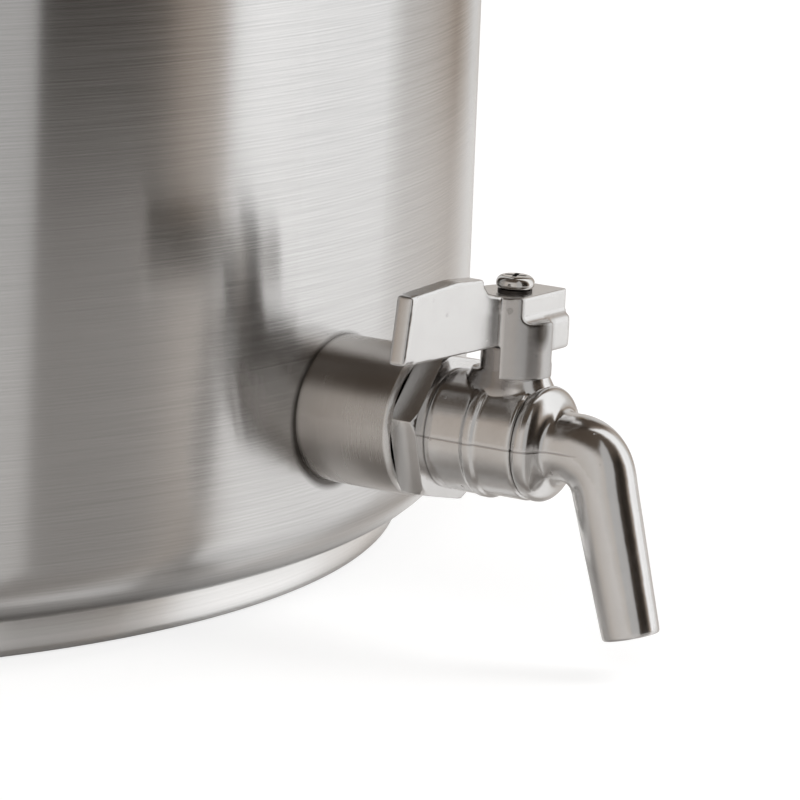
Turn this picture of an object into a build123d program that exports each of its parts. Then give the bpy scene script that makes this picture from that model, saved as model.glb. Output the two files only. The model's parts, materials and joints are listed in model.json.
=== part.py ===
"""Steam jacketed kettle: a double walled pot on a flat capsule base, with a ball tap at its foot.

The origin is the centre of the underside, +Z is up, and the tap points along -Y.
"""
from build123d import *
import os
from math import asin, cos, degrees, radians, sin, sqrt, tan

os.makedirs("parts", exist_ok=True)

# ---------------------------------------------------------------- driving dimensions, mm
# Pot
jacket_radius = 200.0
jacket_wall = 1.5
jacket_corner = 16.0
steam_gap = 20.5
vessel_wall = 1.5
vessel_corner = 12.0
steam_depth = 27.0
pot_height = 320.0

# Capsule base
cap_inset = 15.9
cap_height = 9.2
cap_wall = 1.0
cap_edge = 2.2

# Rim
rim_thickness = 5.0
rim_overhang = 3.0
rim_edge = 2.4
rim_skirt_depth = 12.0

# Lid
lid_sheet = 1.2
lid_gap = 0.3
lid_lap = 12.0
lid_lip_depth = 10.0
lid_lip_clearance = 1.5
lid_rise = 26.0
lid_grip_span = 96.0
lid_grip_height = 40.0
lid_grip_rod = 10.0
lid_grip_bend = 14.0
lid_foot_radius = 12.0
lid_foot_height = 6.0

# Side handles
handle_drop = 23.0
handle_span = 118.0
handle_reach = 44.0
handle_taper = 12.0
handle_rod = 13.0
handle_bend = 20.0
pad_width = 30.0
pad_height = 46.0
pad_thickness = 2.5
pad_corner = 8.0

# Outlet sleeve through both walls
tap_height = 48.9
tap_roll = 1.5
sleeve_radius = 17.0
sleeve_reach = 23.8
sleeve_bore = 8.0
sleeve_thread = 12.1
sleeve_thread_depth = 18.0
sleeve_bevel = 1.2
weld_gap = 0.05

# Ball tap
gasket_thickness = 0.8
gasket_radius = 14.6
hex_width = 32.0
hex_length = 6.6
hex_chamfer = 1.0
hex_turn = 48.5
adaptor_bore = 5.0
adaptor_spigot = 5.0
spout_spigot = 1.0
valve_bore = 9.6
thread_gap = 0.1
body_radius = 13.8
body_front_radius = 13.3
band_rise = 0.3
band_start = 10.2
band_width = 1.6
body_length = 22.0
body_edge = 0.8
stem_offset = 13.6
ball_radius = 7.2
ball_gap = 0.2
seat_inner = 5.8
seat_gap = 0.4

# Spout
collar_radius = 13.2
collar_length = 9.6
spout_root_radius = 8.4
spout_bend_at = 37.5
spout_bend = 8.6
spout_lean = 15.6
spout_leg = 41.6
spout_top_radius = 7.6
spout_tip_radius = 6.5
spout_tip_length = 14.0
spout_bore = 5.0

# Stem and its seals
neck_radius = 6.85
neck_top = 21.4
neck_flare = 1.5
neck_flare_height = 5.5
stem_radius = 3.4
stem_clearance = 0.06
stem_flat = 5.0
stem_collar_radius = 4.5
stem_collar_thickness = 1.4
stem_collar_level = 9.9
tang_width = 2.4
tang_depth = 1.8
packing_radius = 5.2
packing_bottom = 12.6
packing_height = 4.0
gland_height = 4.2
part_gap = 0.3

# Lever
hub_radius = 8.6
hub_bottom = 22.2
hub_top = 33.4
skirt_radius = 9.6
skirt_inner = 7.3
skirt_bottom = 14.7
skirt_start = 195.0
skirt_sweep = 91.0
lug_reach = 12.2
lug_front = 8.0
lug_back = 7.0
lug_bottom = 19.9
lug_step = 27.6
lug_step_back = 1.6
lug_cove = 1.5
blade_tip = 48.2
blade_tip_slant = 1.2
blade_bottom = 22.9
blade_tip_top = 38.1
blade_peak = 39.1
blade_peak_at = 28.0
blade_shoulder = 14.5
blade_shoulder_rise = 1.5
blade_front = 2.1
blade_back = 2.1
screw_radius = 2.0
screw_head_radius = 4.35
screw_head_height = 3.1
screw_length = 10.0
screw_washer_radius = 3.9
screw_washer_height = 0.5
screw_recess = 1.5

# Steam fittings
socket_radius = 13.5
socket_thread = 9.3
socket_shoulder = 0.35
socket_reach = 26.0
inlet_turn = 125.0
inlet_height = 236.0
drain_turn = 90.0
drain_height = 42.0

# Safety valve on its elbow
relief_turn = 52.0
relief_height = 214.0
elbow_radius = 11.0
elbow_bore = 6.5
elbow_reach = 34.0
elbow_bend = 20.0
elbow_rise = 30.0
relief_hex = 30.0
relief_hex_height = 10.0
relief_body_radius = 14.0
relief_body_height = 38.0
relief_chamber = 11.0
relief_chamber_depth = 26.0
relief_outlet_radius = 12.0
relief_outlet_reach = 26.0
relief_outlet_thread = 9.3
relief_outlet_port = 6.5
relief_disc_height = 5.0
relief_spindle = 2.5
relief_bonnet_height = 34.0
relief_bonnet_wall = 2.5
relief_window = 8.0
relief_window_height = 16.0
relief_spring_radius = 7.6
relief_spring_wire = 1.8
relief_spring_coils = 6
relief_knob_radius = 10.0
relief_knob_height = 13.0
relief_groove = 1.0
relief_groove_count = 16

# Pressure gauge
gauge_turn = 315.0
gauge_height = 238.0
gauge_radius = 32.0
gauge_depth = 24.0
gauge_wall = 1.6
gauge_stem_radius = 7.0
gauge_stem_reach = 40.0
gauge_nut_width = 17.0
gauge_nut_length = 9.0
gauge_socket_reach = 18.0
gauge_socket_thread = 6.6
gauge_socket_radius = 10.5
gauge_dial_depth = 7.0
gauge_dial_thickness = 0.8
gauge_glass_thickness = 2.0
gauge_bezel_width = 5.0
gauge_bezel_height = 5.0
gauge_needle_length = 21.0
gauge_needle_tail = 8.0
gauge_needle_width = 2.4
gauge_needle_thickness = 0.6
gauge_pin_radius = 1.2
gauge_needle_gap = 1.6
gauge_zero_turn = 225.0

# ---------------------------------------------------------------- worked out sizes and planes
jacket_inner = jacket_radius - jacket_wall
jacket_floor = cap_height
vessel_radius = jacket_inner - steam_gap
vessel_inner = vessel_radius - vessel_wall
vessel_floor = jacket_floor + jacket_wall + steam_depth
rim_top = pot_height + rim_thickness

sleeve_end = jacket_radius + sleeve_reach
hex_start = sleeve_end + gasket_thickness
body_start = hex_start + hex_length
body_end = body_start + body_length
stem_at = body_start + stem_offset
adaptor_end = body_start + adaptor_spigot

roll = radians(tap_roll)
tap_out = Vector(0, -1, 0)
tap_across = Vector(cos(roll), 0, -sin(roll))
tap_up = Vector(sin(roll), 0, cos(roll))
tap_origin = Vector(0, 0, tap_height)
stem_origin = tap_origin + tap_out * stem_at
tap_axis = Axis(tuple(tap_origin), tuple(tap_out))
stem_axis = Axis(tuple(stem_origin), tuple(tap_up))


def tap_section():
    """Plane through the tap's axis: x runs out along the tap, y runs up its stem."""
    return Plane(origin=tap_origin, x_dir=tap_out, z_dir=tap_out.cross(tap_up))


def tap_cross(distance):
    """Plane across the tap, a distance from the pot's axis: x across, y up, z outwards."""
    return Plane(origin=tap_origin + tap_out * distance, x_dir=tap_across, z_dir=tap_out)


def stem_level(height):
    """Plane square to the stem at a height over the tap's axis: x across, y towards the pot."""
    return Plane(origin=stem_origin + tap_up * height, x_dir=tap_across, z_dir=tap_up)


def radial_plane(turn, height, distance=0.0):
    """Plane square to a radius of the pot: z points outwards and y upwards."""
    outwards = Vector(cos(radians(turn)), sin(radians(turn)), 0)
    origin = outwards * distance + Vector(0, 0, height)
    return Plane(origin=origin, x_dir=Vector(0, 0, 1).cross(outwards), z_dir=outwards)


def finish(part, name):
    """Label a finished piece and write its STEP file."""
    part.label = name
    export_step(part, f"parts/{name}.step")


# ---------------------------------------------------------------- capsule base
# Stainless pan pressed round a thick aluminium disc that spreads the heat.
cap_radius = jacket_radius - cap_inset
core_radius = cap_radius - cap_wall

with BuildPart() as base_cap:
    with BuildSketch(Plane.XZ):
        with BuildLine():
            FilletPolyline(
                (core_radius, cap_wall), (core_radius, cap_height), (cap_radius, cap_height),
                (cap_radius, 0), (0, 0), radius=[cap_wall * 0.3, cap_wall * 0.3, cap_edge],
            )
            Polyline((0, 0), (0, cap_wall), (core_radius, cap_wall))
        make_face()
    revolve(axis=Axis.Z)
finish(base_cap.part, "base_cap")

with BuildPart() as base_core:
    with BuildSketch(Plane.XY.offset(cap_wall)):
        Circle(core_radius)
    extrude(amount=cap_height - cap_wall)
finish(base_core.part, "base_core")

# ---------------------------------------------------------------- inner vessel
# Deep drawn bowl that holds the food. Its outer form also trims what is welded to it.


def bowl_outline(radius, bottom, corner, top):
    """Half outline of a round bowl with a rounded foot, on the plane of radius and height."""
    Polyline((0, top), (0, bottom), (radius - corner, bottom))
    RadiusArc((radius - corner, bottom), (radius, bottom + corner), -corner)
    Polyline((radius, bottom + corner), (radius, top), (0, top))


with BuildPart(mode=Mode.PRIVATE) as vessel_form:
    with BuildSketch(Plane.XZ):
        with BuildLine():
            bowl_outline(vessel_radius, vessel_floor, vessel_corner, pot_height)
        make_face()
    revolve(axis=Axis.Z)

with BuildPart() as inner_vessel:
    add(vessel_form.part)
    with BuildSketch(Plane.XZ):
        with BuildLine():
            bowl_outline(
                vessel_inner, vessel_floor + vessel_wall, vessel_corner - vessel_wall, pot_height,
            )
        make_face()
    revolve(axis=Axis.Z, mode=Mode.SUBTRACT)
    with BuildSketch(tap_cross(0)):
        Circle(sleeve_bore)
    extrude(amount=jacket_radius, mode=Mode.SUBTRACT)
finish(inner_vessel.part, "inner_vessel")

# ---------------------------------------------------------------- outer jacket
# Brushed outer shell that holds the steam round the vessel, with a hole for each fitting.
elbow_plane = radial_plane(relief_turn, relief_height)
gauge_plane = radial_plane(gauge_turn, gauge_height)
jacket_holes = [
    (tap_cross(0), sleeve_radius + weld_gap),
    (radial_plane(inlet_turn, inlet_height), socket_thread - socket_shoulder),
    (radial_plane(drain_turn, drain_height), socket_thread - socket_shoulder),
    (elbow_plane, elbow_bore),
    (gauge_plane, gauge_socket_thread),
]

with BuildPart() as outer_jacket:
    with BuildSketch(Plane.XZ):
        with BuildLine():
            bowl_outline(jacket_radius, jacket_floor, jacket_corner, pot_height)
        make_face()
    revolve(axis=Axis.Z)
    with BuildSketch(Plane.XZ):
        with BuildLine():
            bowl_outline(
                jacket_inner, jacket_floor + jacket_wall, jacket_corner - jacket_wall, pot_height,
            )
        make_face()
    revolve(axis=Axis.Z, mode=Mode.SUBTRACT)
    for hole_plane, hole_radius in jacket_holes:
        with BuildSketch(hole_plane):
            Circle(hole_radius)
        extrude(amount=jacket_radius * 1.2, mode=Mode.SUBTRACT)
finish(outer_jacket.part, "outer_jacket")

# ---------------------------------------------------------------- rim
# Turned ring that closes the steam space and laps over the jacket.
rim_outer = jacket_radius + rim_overhang
rim_skirt = pot_height - rim_skirt_depth
with BuildPart() as rim_ring:
    with BuildSketch(Plane.XZ):
        with BuildLine():
            FilletPolyline(
                (vessel_inner, pot_height), (vessel_inner, rim_top), (rim_outer, rim_top),
                (rim_outer, rim_skirt), (jacket_radius, rim_skirt),
                radius=[rim_edge * 0.4, rim_edge, rim_edge * 0.5],
            )
            Polyline(
                (jacket_radius, rim_skirt), (jacket_radius, pot_height),
                (vessel_inner, pot_height),
            )
        make_face()
    revolve(axis=Axis.Z)
finish(rim_ring.part, "rim_ring")

# ---------------------------------------------------------------- side handles
# Bent tube bows on curved pads, welded to the jacket on both sides.
pad_face = jacket_radius + pad_thickness
handle_height = rim_skirt - handle_drop - pad_height / 2
handle_centre = jacket_radius + handle_reach - handle_rod / 2
handle_foot = handle_span / 2
handle_corner = handle_foot - handle_taper

with BuildPart(mode=Mode.PRIVATE) as pad_envelope:
    Cylinder(pad_face, pot_height, align=(Align.CENTER, Align.CENTER, Align.MIN))

for side, side_name in ((-1, "left"), (1, "right")):
    with BuildPart() as handle:
        with BuildLine() as handle_path:
            FilletPolyline(
                (side * (jacket_radius - handle_rod), -handle_foot, handle_height),
                (side * handle_centre, -handle_corner, handle_height),
                (side * handle_centre, handle_corner, handle_height),
                (side * (jacket_radius - handle_rod), handle_foot, handle_height),
                radius=handle_bend,
            )
        with BuildSketch(Plane(origin=handle_path.line @ 0, z_dir=handle_path.line % 0)):
            Circle(handle_rod / 2)
        sweep()
        add(pad_envelope.part, mode=Mode.SUBTRACT)
    finish(handle.part, f"{side_name}_handle")

    foot_turn = degrees(asin(handle_foot / jacket_radius))
    side_turn = 90 - side * 90
    with BuildPart() as pads:
        for turn in (side_turn - foot_turn, side_turn + foot_turn):
            with BuildSketch(radial_plane(turn, handle_height, jacket_radius - pad_width / 4)):
                RectangleRounded(pad_width, pad_height, pad_corner)
            extrude(amount=pad_width)
        with BuildSketch(Plane.XY):
            Circle(pad_face)
            Circle(jacket_radius, mode=Mode.SUBTRACT)
        extrude(amount=pot_height, mode=Mode.INTERSECT)
    finish(pads.part, f"{side_name}_handle_pads")

# ---------------------------------------------------------------- lid
# Domed sheet with a flat lap that rests on the rim and a lip that centres it in the vessel.
lid_bottom = rim_top + lid_gap
lid_lip = vessel_inner - lid_lip_clearance
lid_radius = vessel_inner + lid_lap
lid_crown = lid_bottom + lid_rise
dome_root = lid_lip - lid_sheet


def dome_height(radius, offset=0.0):
    """Height of the lid's dome at a radius, on its inner face or an offset above it."""
    return lid_crown + offset - lid_rise * (radius / dome_root) ** 2


def dome_curve(offset=0.0):
    """Parabola of the dome, from its crown out to its root, on radius and height."""
    end_radius = dome_root + offset
    Spline(
        (0, dome_height(0, offset)), (end_radius / 2, dome_height(end_radius / 2, offset)),
        (end_radius, dome_height(end_radius, offset)),
        tangents=((1, 0), (1, -2 * lid_rise * end_radius / dome_root**2)),
    )


with BuildPart() as lid_shell:
    with BuildSketch(Plane.XZ):
        with BuildLine():
            dome_curve()
            Polyline(
                (dome_root, lid_bottom), (dome_root, rim_top - lid_lip_depth),
                (lid_lip, rim_top - lid_lip_depth), (lid_lip, lid_bottom),
                (lid_radius, lid_bottom), (lid_radius, lid_bottom + lid_sheet),
                (lid_lip, lid_bottom + lid_sheet), (lid_lip, dome_height(lid_lip, lid_sheet)),
            )
            dome_curve(lid_sheet)
            Line((0, lid_crown + lid_sheet), (0, lid_crown))
        make_face()
    revolve(axis=Axis.Z)
finish(lid_shell.part, "lid_shell")

grip_half = lid_grip_span / 2
grip_top = lid_crown + lid_sheet + lid_grip_height - lid_grip_rod / 2
foot_base = dome_height(grip_half + lid_foot_radius, lid_sheet)
foot_top = dome_height(grip_half - lid_foot_radius, lid_sheet) + lid_foot_height

with BuildPart(mode=Mode.PRIVATE) as dome_form:
    with BuildSketch(Plane.XZ):
        with BuildLine():
            dome_curve(lid_sheet)
            Polyline(
                (0, lid_crown + lid_sheet), (0, 0), (lid_lip, 0),
                (lid_lip, dome_height(lid_lip, lid_sheet)),
            )
        make_face()
    revolve(axis=Axis.Z)

with BuildPart() as lid_feet:
    for side in (-1, 1):
        with BuildSketch(Plane.XY.offset(foot_base)):
            with Locations((side * grip_half, 0)):
                Circle(lid_foot_radius)
        extrude(amount=foot_top - foot_base)
    fillet(lid_feet.edges().group_by(Axis.Z)[-1], lid_foot_height * 0.4)
    add(dome_form.part, mode=Mode.SUBTRACT)
finish(lid_feet.part, "lid_grip_feet")

with BuildPart() as lid_grip:
    with BuildLine() as grip_path:
        FilletPolyline(
            (-grip_half, 0, foot_top), (-grip_half, 0, grip_top),
            (grip_half, 0, grip_top), (grip_half, 0, foot_top),
            radius=lid_grip_bend,
        )
    with BuildSketch(Plane(origin=grip_path.line @ 0, z_dir=grip_path.line % 0)):
        Circle(lid_grip_rod / 2)
    sweep()
finish(lid_grip.part, "lid_grip")

# ---------------------------------------------------------------- outlet sleeve and gasket
# Thick tube welded through jacket and vessel, threaded inside at its mouth for the tap.
thread_start = sleeve_end - sleeve_thread_depth
with BuildPart() as outlet_sleeve:
    with BuildSketch(tap_cross(vessel_inner - vessel_corner)):
        Circle(sleeve_radius)
    extrude(amount=sleeve_end - vessel_inner + vessel_corner)
    mouth = outlet_sleeve.faces().sort_by(tap_axis)[-1]
    chamfer(mouth.edges(), sleeve_bevel)
    with BuildSketch(tap_cross(0)):
        Circle(sleeve_bore)
    extrude(amount=sleeve_end, mode=Mode.SUBTRACT)
    with BuildSketch(tap_cross(thread_start)):
        Circle(sleeve_thread)
    extrude(amount=sleeve_thread_depth, mode=Mode.SUBTRACT)
    add(vessel_form.part, mode=Mode.SUBTRACT)
finish(outlet_sleeve.part, "outlet_sleeve")

with BuildPart() as tap_gasket:
    with BuildSketch(tap_cross(sleeve_end)):
        Circle(gasket_radius)
        Circle(sleeve_thread, mode=Mode.SUBTRACT)
    extrude(amount=gasket_thickness)
finish(tap_gasket.part, "tap_gasket")

# ---------------------------------------------------------------- tap adaptor
# Hexagon nipple: one end screws into the sleeve, the other closes the valve body.
nipple_start = thread_start + thread_gap
hex_corner = hex_width / sqrt(3)
with BuildPart() as tap_adaptor:
    with BuildSketch(tap_cross(hex_start)):
        RegularPolygon(hex_width / 2, 6, major_radius=False, rotation=hex_turn)
    extrude(amount=hex_length)
    with BuildSketch(tap_section()):
        with BuildLine():
            Polyline(
                (hex_start, 0), (hex_start, hex_corner - hex_chamfer * 1.3),
                (hex_start + hex_chamfer, hex_corner), (body_start - hex_chamfer, hex_corner),
                (body_start, hex_corner - hex_chamfer * 1.3), (body_start, 0), (hex_start, 0),
            )
        make_face()
    revolve(axis=tap_axis, mode=Mode.INTERSECT)
    with BuildSketch(tap_cross(nipple_start)):
        Circle(sleeve_thread - thread_gap)
    extrude(amount=hex_start - nipple_start)
    with BuildSketch(tap_cross(body_start)):
        Circle(valve_bore - thread_gap)
    extrude(amount=adaptor_spigot)
    with BuildSketch(tap_cross(nipple_start)):
        Circle(adaptor_bore)
    extrude(amount=adaptor_end - nipple_start, mode=Mode.SUBTRACT)
finish(tap_adaptor.part, "tap_adaptor")

# ---------------------------------------------------------------- tap body
# Investment casting with a raised band round it and a neck for the stem.
band_at = body_start + band_start
band_end = band_at + band_width
spigot_start = body_end - spout_spigot
body_outer = body_radius + band_rise
with BuildPart() as tap_body:
    with BuildSketch(tap_section()):
        with BuildLine():
            Polyline(
                (body_start, 0), (body_start, body_radius - body_edge),
                (body_start + body_edge, body_radius), (band_at - band_rise, body_radius),
                (band_at, body_outer), (band_end, body_outer),
                (band_end + band_rise, body_front_radius),
                (body_end - body_edge, body_front_radius), (body_end, body_front_radius - body_edge),
                (body_end, 0), (body_start, 0),
            )
        make_face()
    revolve(axis=tap_axis)
    with BuildSketch(stem_level(0)):
        Circle(neck_radius)
    extrude(amount=neck_top)
    flare_top = body_outer + neck_flare
    flare_bottom = flare_top - neck_flare_height
    with BuildSketch(tap_cross(stem_at)):
        with BuildLine():
            Polyline((0, flare_top), (0, flare_bottom), (neck_radius + neck_flare, flare_bottom))
            Spline(
                (neck_radius + neck_flare, flare_bottom),
                (neck_radius + neck_flare * 0.3, flare_top - neck_flare_height * 0.45),
                (neck_radius, flare_top),
                tangents=((-0.1, 1), (0, 1)),
            )
            Line((neck_radius, flare_top), (0, flare_top))
        make_face()
    revolve(axis=stem_axis)
    with BuildSketch(tap_cross(body_start)):
        Circle(valve_bore)
    extrude(amount=body_length, mode=Mode.SUBTRACT)
    with BuildSketch(stem_level(0)):
        Circle(stem_radius + stem_clearance)
    extrude(amount=neck_top, mode=Mode.SUBTRACT)
    with BuildSketch(stem_level(0)):
        Circle(stem_collar_radius + part_gap)
    extrude(amount=stem_collar_level + stem_collar_thickness + part_gap, mode=Mode.SUBTRACT)
    with BuildSketch(stem_level(packing_bottom)):
        Circle(packing_radius)
    extrude(amount=neck_top - packing_bottom, mode=Mode.SUBTRACT)
finish(tap_body.part, "tap_body")

# ---------------------------------------------------------------- valve ball and seats
# Bored ball between two soft rings. Closed, its bore lies across the flow.
def seat_ring(name, start, end):
    """Soft ring between two distances along the tap, hollowed to the ball's curve."""
    with BuildPart() as seat:
        with BuildSketch(tap_cross(start)):
            Circle(valve_bore - thread_gap)
            Circle(seat_inner, mode=Mode.SUBTRACT)
        extrude(amount=end - start)
        with Locations(Location(stem_origin)):
            Sphere(ball_radius + ball_gap, mode=Mode.SUBTRACT)
    finish(seat.part, name)


seat_lip = stem_radius + seat_gap
seat_ring("inlet_seat", adaptor_end, stem_at - seat_lip)
seat_ring("outlet_seat", stem_at + seat_lip, spigot_start)

with BuildPart() as valve_ball:
    with Locations(Location(stem_origin)):
        Sphere(ball_radius)
    with BuildSketch(Plane(origin=stem_origin, x_dir=tap_out, z_dir=tap_across)):
        Circle(adaptor_bore - part_gap)
    extrude(amount=ball_radius, both=True, mode=Mode.SUBTRACT)
    with BuildSketch(stem_level(ball_radius - tang_depth)):
        Rectangle(ball_radius * 2, tang_width + part_gap)
    extrude(amount=tang_depth, mode=Mode.SUBTRACT)
finish(valve_ball.part, "valve_ball")

# ---------------------------------------------------------------- stem, packing and gland
# Turned stem with a tang in the ball's slot and two flats that drive the lever.
with BuildPart() as tap_stem:
    with BuildSketch(stem_level(stem_collar_level)):
        Circle(stem_collar_radius)
    extrude(amount=stem_collar_thickness)
    with BuildSketch(stem_level(stem_collar_level)):
        Circle(stem_radius)
    extrude(amount=hub_bottom - stem_collar_level)
    with BuildSketch(stem_level(hub_bottom)):
        Circle(stem_radius)
        Rectangle(stem_radius * 2, stem_flat, mode=Mode.INTERSECT)
    extrude(amount=hub_top - part_gap - hub_bottom)
    with BuildSketch(stem_level(ball_radius - tang_depth + part_gap)):
        Circle(stem_radius)
        Rectangle(stem_radius * 2, tang_width, mode=Mode.INTERSECT)
    extrude(amount=stem_collar_level - ball_radius + tang_depth - part_gap)
    with BuildSketch(stem_level(hub_top)):
        Circle(screw_radius + weld_gap)
    extrude(amount=-screw_length, mode=Mode.SUBTRACT)
finish(tap_stem.part, "tap_stem")

for ring_name, ring_bottom, ring_height in (
    ("stem_packing", packing_bottom, packing_height),
    ("stem_gland", packing_bottom + packing_height, gland_height),
):
    with BuildPart() as ring:
        with BuildSketch(stem_level(ring_bottom)):
            Circle(packing_radius - weld_gap)
            Circle(stem_radius + stem_clearance, mode=Mode.SUBTRACT)
        extrude(amount=ring_height)
    finish(ring.part, ring_name)

# ---------------------------------------------------------------- tap lever
# One casting: a hub on the stem, a thin blade to one side, a stepped lug to the other and
# a skirt that hangs in front of the neck.
with BuildPart() as tap_lever:
    with BuildSketch(stem_level(hub_bottom)):
        Circle(hub_radius)
    extrude(amount=hub_top - hub_bottom)
    with BuildSketch(stem_level(skirt_bottom)):
        with BuildLine():
            outer = CenterArc((0, 0), skirt_radius, skirt_start, skirt_sweep)
            inner = CenterArc((0, 0), skirt_inner, skirt_start, skirt_sweep)
            Line(outer @ 0, inner @ 0)
            Line(outer @ 1, inner @ 1)
        make_face()
    extrude(amount=hub_top - skirt_bottom)
    with BuildSketch(stem_level(lug_bottom)):
        with Locations((0, -lug_front)):
            Rectangle(lug_reach, lug_front + lug_back, align=(Align.MIN, Align.MIN))
    extrude(amount=hub_top - lug_bottom)
    with BuildSketch(stem_level(lug_bottom)):
        Circle(skirt_inner)
    extrude(amount=hub_bottom - lug_bottom, mode=Mode.SUBTRACT)
    with BuildSketch(Plane(origin=stem_origin, x_dir=tap_out, z_dir=-tap_across)):
        with BuildLine():
            FilletPolyline(
                (lug_front - lug_step_back, hub_top), (lug_front - lug_step_back, lug_step),
                (skirt_radius, lug_step), radius=lug_cove,
            )
            Polyline(
                (skirt_radius, lug_step), (skirt_radius, hub_top),
                (lug_front - lug_step_back, hub_top),
            )
        make_face()
    extrude(amount=lug_reach, both=True, mode=Mode.SUBTRACT)
    with BuildSketch(tap_cross(stem_at - blade_back)):
        with BuildLine():
            Polyline(
                (-blade_tip - blade_tip_slant, blade_bottom),
                (-blade_tip + blade_tip_slant, blade_tip_top),
                (-blade_peak_at, blade_peak),
                (-blade_shoulder - 2 * blade_shoulder_rise, blade_peak - blade_shoulder_rise / 2),
                (-blade_shoulder, hub_top + blade_shoulder_rise), (-hub_radius, hub_top), (-stem_radius, hub_top),
                (-stem_radius, hub_bottom), (-hub_radius * 1.5, hub_bottom),
                (-blade_tip - blade_tip_slant, blade_bottom),
            )
        make_face()
    extrude(amount=blade_front + blade_back)
    with BuildSketch(stem_level(hub_bottom)):
        Circle(stem_radius + weld_gap)
        Rectangle(stem_radius * 3, stem_flat + weld_gap * 2, mode=Mode.INTERSECT)
    extrude(amount=hub_top - hub_bottom, mode=Mode.SUBTRACT)
finish(tap_lever.part, "tap_lever")

washer_top = hub_top + screw_washer_height
with BuildPart() as lever_washer:
    with BuildSketch(stem_level(hub_top)):
        Circle(screw_washer_radius)
        Circle(screw_radius + weld_gap, mode=Mode.SUBTRACT)
    extrude(amount=screw_washer_height)
finish(lever_washer.part, "lever_washer")

with BuildPart() as lever_screw:
    with BuildSketch(stem_level(washer_top)):
        Circle(screw_head_radius)
    extrude(amount=screw_head_height)
    fillet(lever_screw.faces().sort_by(stem_axis)[-1].edges(), screw_head_height * 0.55)
    fillet(lever_screw.faces().sort_by(stem_axis)[0].edges(), screw_head_height * 0.25)
    with BuildSketch(stem_level(washer_top)):
        Circle(screw_radius)
    extrude(amount=screw_washer_height - screw_length + part_gap)
    with BuildSketch(stem_level(washer_top + screw_head_height)):
        for turn in (20, 110):
            with Locations(Location((0, 0, 0), (0, 0, turn))):
                Rectangle(screw_head_radius * 1.1, screw_head_radius * 0.24)
    extrude(amount=-screw_recess, mode=Mode.SUBTRACT)
finish(lever_screw.part, "lever_screw")

# ---------------------------------------------------------------- spout
# Cast collar that closes the body, then a short pipe that turns down and leans outwards.
lean = radians(spout_lean)
bend_at = body_start + spout_bend_at
bend_turn = 90 - spout_lean
bend_run = spout_bend * tan(radians(bend_turn / 2))
leg_start = (bend_at + bend_run * sin(lean), -bend_run * cos(lean))
leg_end = (bend_at + spout_leg * sin(lean), -spout_leg * cos(lean))
leg_plane_z = tap_out * sin(lean) - tap_up * cos(lean)


def spout_point(along, up):
    """Point of the tap's upright plane, along the tap and up its stem."""
    return tap_origin + tap_out * along + tap_up * up


leg_axis = Axis(tuple(spout_point(*leg_start)), tuple(leg_plane_z))
leg_length = spout_leg - bend_run
bend_start = bend_at - bend_run
collar_end = body_end + collar_length

tip_start = leg_length - spout_tip_length
with BuildPart() as tap_spout:
    with BuildSketch(tap_section()):
        with BuildLine():
            Polyline(
                (spigot_start, 0), (spigot_start, valve_bore - thread_gap),
                (body_end, valve_bore - thread_gap), (body_end, body_front_radius - body_edge),
            )
            Spline(
                (body_end, body_front_radius - body_edge),
                (body_end + collar_length * 0.15, collar_radius - body_edge * 0.6),
                (body_end + collar_length * 0.65, (collar_radius + spout_root_radius) / 2),
                (collar_end, spout_root_radius),
                tangents=((0.6, 1), (1, -0.9)),
            )
            Polyline((collar_end, spout_root_radius), (collar_end, 0), (spigot_start, 0))
        make_face()
    revolve(axis=tap_axis)
    with BuildLine() as bend_path:
        FilletPolyline(
            spout_point(bend_start - spout_bore, 0), spout_point(bend_at, 0),
            spout_point(bend_at + (bend_run + spout_bore) * sin(lean),
                        -(bend_run + spout_bore) * cos(lean)),
            radius=spout_bend,
        )
    with BuildSketch(Plane(origin=bend_path.line @ 0, z_dir=bend_path.line % 0)):
        Circle(spout_top_radius)
    sweep(path=bend_path.line)
    with BuildSketch(Plane(origin=spout_point(*leg_start), x_dir=leg_plane_z, z_dir=tap_across)):
        with BuildLine():
            Polyline(
                (0, 0), (0, spout_top_radius), (tip_start, spout_tip_radius),
                (leg_length, spout_tip_radius), (leg_length, 0), (0, 0),
            )
        make_face()
    revolve(axis=leg_axis)
    with BuildLine() as bore_path:
        FilletPolyline(
            spout_point(spigot_start, 0), spout_point(bend_at, 0), spout_point(*leg_end),
            radius=spout_bend,
        )
    with BuildSketch(Plane(origin=bore_path.line @ 0, z_dir=bore_path.line % 0)):
        Circle(spout_bore)
    sweep(path=bore_path.line, mode=Mode.SUBTRACT)
finish(tap_spout.part, "tap_spout")

# ---------------------------------------------------------------- steam sockets
# Weld-on pipe sockets: steam goes in high on the back, condensate leaves low.
with BuildPart(mode=Mode.PRIVATE) as jacket_form:
    Cylinder(jacket_radius, pot_height, align=(Align.CENTER, Align.CENTER, Align.MIN))


def pipe_socket(name, turn, height, radius, thread, reach):
    """Round socket welded square to the jacket, threaded right through."""
    with BuildPart() as socket:
        with BuildSketch(radial_plane(turn, height, jacket_inner - jacket_wall)):
            Circle(radius)
            Circle(thread, mode=Mode.SUBTRACT)
        extrude(amount=reach + 2 * jacket_wall)
        rim_edges = socket.edges().group_by(Axis(
            (0, 0, height), (cos(radians(turn)), sin(radians(turn)), 0)))[-1]
        chamfer(rim_edges.sort_by(SortBy.LENGTH)[-1:], jacket_wall * 0.6)
        add(jacket_form.part, mode=Mode.SUBTRACT)
    finish(socket.part, name)


pipe_socket("steam_inlet_socket", inlet_turn, inlet_height, socket_radius, socket_thread,
            socket_reach)
pipe_socket("condensate_socket", drain_turn, drain_height, socket_radius, socket_thread,
            socket_reach)
pipe_socket("gauge_socket", gauge_turn, gauge_height, gauge_socket_radius, gauge_socket_thread,
            gauge_socket_reach)

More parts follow.
